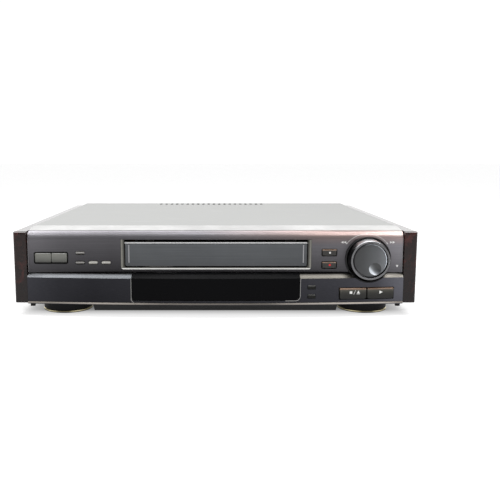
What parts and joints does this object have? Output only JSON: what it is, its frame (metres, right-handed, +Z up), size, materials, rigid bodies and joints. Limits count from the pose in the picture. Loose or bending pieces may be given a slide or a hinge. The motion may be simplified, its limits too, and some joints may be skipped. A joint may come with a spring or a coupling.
{
  "type": "vhs video cassette recorder",
  "caption": "Wide video cassette recorder with a bowed lower front, wooden side cheeks, flip-down door, sprung cassette flap, jog and shuttle dial and a tape deck inside.",
  "frame": {"origin": "middle of the footprint, on the plane that the feet stand on", "axes": "+X to the right seen from the front, +Y to the back, +Z up"},
  "size_m": [0.465, 0.3932, 0.102],
  "materials": {
    "cover": "satin",
    "strip": "satin",
    "fascia": "brushed hairline, gunmetal",
    "lower": "satin",
    "door": "satin",
    "trim": "champagne satin",
    "window": "gloss",
    "tube": "gloss",
    "slot_trim": "satin",
    "flap": "brushed",
    "steel": "satin",
    "zinc": "zinc plated",
    "wood": "high gloss lacquer",
    "foot": "satin",
    "gold": "polished",
    "rubber": "matt",
    "black": "satin",
    "key_grey": "satin",
    "key_dark": "satin",
    "dial": "satin",
    "board": "solder mask",
    "supply": "paper board with parts",
    "tin": "tin plate",
    "drum": "turned",
    "reel": "satin",
    "chassis": "moulded"
  },
  "bodies": {
    "root": {"top_cover": "cover", "bottom_cover": "zinc", "main_frame": "chassis", "rear_panel": "zinc", "front_bezel": "strip", "upper_fascia": "fascia", "lower_fascia": "lower", "base_trim": "trim", "display_window": "window", "display_tube": "tube", "front_board": "board", "key_board": "board", "slot_trim": "slot_trim", "flap_spring": "steel", "av_panel": "black", "av_sockets": "gold", "wood_cheek_left": "wood", "wood_cheek_right": "wood", "front_feet": "foot", "foot_rings": "gold", "foot_pads": "rubber", "rear_feet": "foot", "base_skirt": "black", "cover_screws": "steel", "dial_base": "dial", "dial_encoder": "zinc", "mains_inlet": "black", "scart_sockets": "black", "phono_sockets": "gold", "tuner_can": "tin", "main_board": "board", "power_board": "supply", "deck_plate": "steel", "drum_lower": "drum"},
    "flap": {"cassette_flap": "flap"},
    "door": {"control_door": "door", "door_trim": "trim"},
    "operate": {"operate_key": "key_grey"},
    "timer": {"timer_key": "key_grey"},
    "oval_1": {"oval_key_1": "key_dark"},
    "oval_2": {"oval_key_2": "key_dark"},
    "oval_3": {"oval_key_3": "key_grey"},
    "oval_4": {"oval_key_4": "key_grey"},
    "pause": {"pause_key": "key_dark"},
    "record": {"record_key": "key_dark"},
    "stop": {"stop_key": "key_dark"},
    "play": {"play_key": "key_dark"},
    "slot_upper": {"slot_key_upper": "key_dark"},
    "slot_lower": {"slot_key_lower": "key_dark"},
    "shuttle": {"shuttle_ring": "dial"},
    "jog": {"jog_dial": "dial"},
    "drum": {"drum_upper": "drum"},
    "capstan_body": {"capstan": "steel"},
    "arm": {"pinch_arm": "steel"},
    "roller": {"pinch_roller": "rubber"},
    "supply": {"supply_reel": "reel"},
    "takeup": {"takeup_reel": "reel"},
    "posts": {"loading_posts": "steel"},
    "slides": {"lift_slides": "steel"},
    "holder": {"cassette_holder": "steel"}
  },
  "joints": [
    {"name": "flap_hinge", "type": "hinge", "parent": "root", "child": "flap", "pos_m": [0.0009, -0.17555, 0.0848], "axis": [1, 0, 0], "range_deg": [0, 80], "stiffness_Nm_per_rad": 0.02, "springref_deg": -20.05},
    {"name": "door_hinge", "type": "hinge", "parent": "root", "child": "door", "pos_m": [-0.156, -0.17935, 0.0205], "axis": [1, 0, 0], "range_deg": [0, 90]},
    {"name": "operate_press", "type": "slide", "parent": "root", "child": "operate", "axis": [0, 1, 0], "range_m": [0, 0.001], "stiffness_N_per_m": 300, "springref_m": -0.0005},
    {"name": "timer_press", "type": "slide", "parent": "root", "child": "timer", "axis": [0, 1, 0], "range_m": [0, 0.001], "stiffness_N_per_m": 300, "springref_m": -0.0005},
    {"name": "oval_1_press", "type": "slide", "parent": "root", "child": "oval_1", "axis": [0, 1, 0], "range_m": [0, 0.001], "stiffness_N_per_m": 300, "springref_m": -0.0005},
    {"name": "oval_2_press", "type": "slide", "parent": "root", "child": "oval_2", "axis": [0, 1, 0], "range_m": [0, 0.001], "stiffness_N_per_m": 300, "springref_m": -0.0005},
    {"name": "oval_3_press", "type": "slide", "parent": "root", "child": "oval_3", "axis": [0, 1, 0], "range_m": [0, 0.001], "stiffness_N_per_m": 300, "springref_m": -0.0005},
    {"name": "oval_4_press", "type": "slide", "parent": "root", "child": "oval_4", "axis": [0, 1, 0], "range_m": [0, 0.001], "stiffness_N_per_m": 300, "springref_m": -0.0005},
    {"name": "pause_press", "type": "slide", "parent": "root", "child": "pause", "axis": [0, 1, 0], "range_m": [0, 0.001], "stiffness_N_per_m": 300, "springref_m": -0.0005},
    {"name": "record_press", "type": "slide", "parent": "root", "child": "record", "axis": [0, 1, 0], "range_m": [0, 0.001], "stiffness_N_per_m": 300, "springref_m": -0.0005},
    {"name": "stop_press", "type": "slide", "parent": "root", "child": "stop", "axis": [0, 1, 0], "range_m": [0, 0.001], "stiffness_N_per_m": 300, "springref_m": -0.0005},
    {"name": "play_press", "type": "slide", "parent": "root", "child": "play", "axis": [0, 1, 0], "range_m": [0, 0.001], "stiffness_N_per_m": 300, "springref_m": -0.0005},
    {"name": "slot_upper_press", "type": "slide", "parent": "root", "child": "slot_upper", "axis": [0, 1, 0], "range_m": [0, 0.001], "stiffness_N_per_m": 300, "springref_m": -0.0005},
    {"name": "slot_lower_press", "type": "slide", "parent": "root", "child": "slot_lower", "axis": [0, 1, 0], "range_m": [0, 0.001], "stiffness_N_per_m": 300, "springref_m": -0.0005},
    {"name": "shuttle_turn", "type": "hinge", "parent": "root", "child": "shuttle", "pos_m": [0.17631, -0.18235, 0.0663], "axis": [0, -1, 0], "range_deg": [-70, 70], "stiffness_Nm_per_rad": 0.03},
    {"name": "jog_turn", "type": "hinge", "parent": "root", "child": "jog", "pos_m": [0.17631, -0.18935, 0.0663], "axis": [0, -1, 0], "continuous": true},
    {"name": "drum_spin", "type": "hinge", "parent": "root", "child": "drum", "pos_m": [0.0009, 0.08065, 0.044], "axis": [0.0872, 0, 0.9962], "continuous": true},
    {"name": "capstan_spin", "type": "hinge", "parent": "root", "child": "capstan_body", "pos_m": [0.0579, 0.04065, 0.03], "axis": [0, 0, 1], "continuous": true},
    {"name": "pinch_swing", "type": "hinge", "parent": "root", "child": "arm", "pos_m": [0.0879, 0.04565, 0.05], "axis": [0, 0, 1], "range_deg": [0, 44]},
    {"name": "roller_spin", "type": "hinge", "parent": "arm", "child": "roller", "pos_m": [0.0713, 0.05852, 0.048], "axis": [0, 0, 1], "continuous": true},
    {"name": "supply_spin", "type": "hinge", "parent": "root", "child": "supply", "pos_m": [-0.0451, -0.02335, 0.035], "axis": [0, 0, 1], "continuous": true},
    {"name": "takeup_spin", "type": "hinge", "parent": "root", "child": "takeup", "pos_m": [0.0469, -0.02335, 0.035], "axis": [0, 0, 1], "continuous": true},
    {"name": "post_slide", "type": "slide", "parent": "root", "child": "posts", "axis": [0, 1, 0], "range_m": [0, 0.066]},
    {"name": "slide_in", "type": "slide", "parent": "root", "child": "slides", "axis": [0, 1, 0], "range_m": [0, 0.066]},
    {"name": "holder_down", "type": "slide", "parent": "slides", "child": "holder", "axis": [0, 0, -1], "range_m": [0, 0.022]}
  ]
}
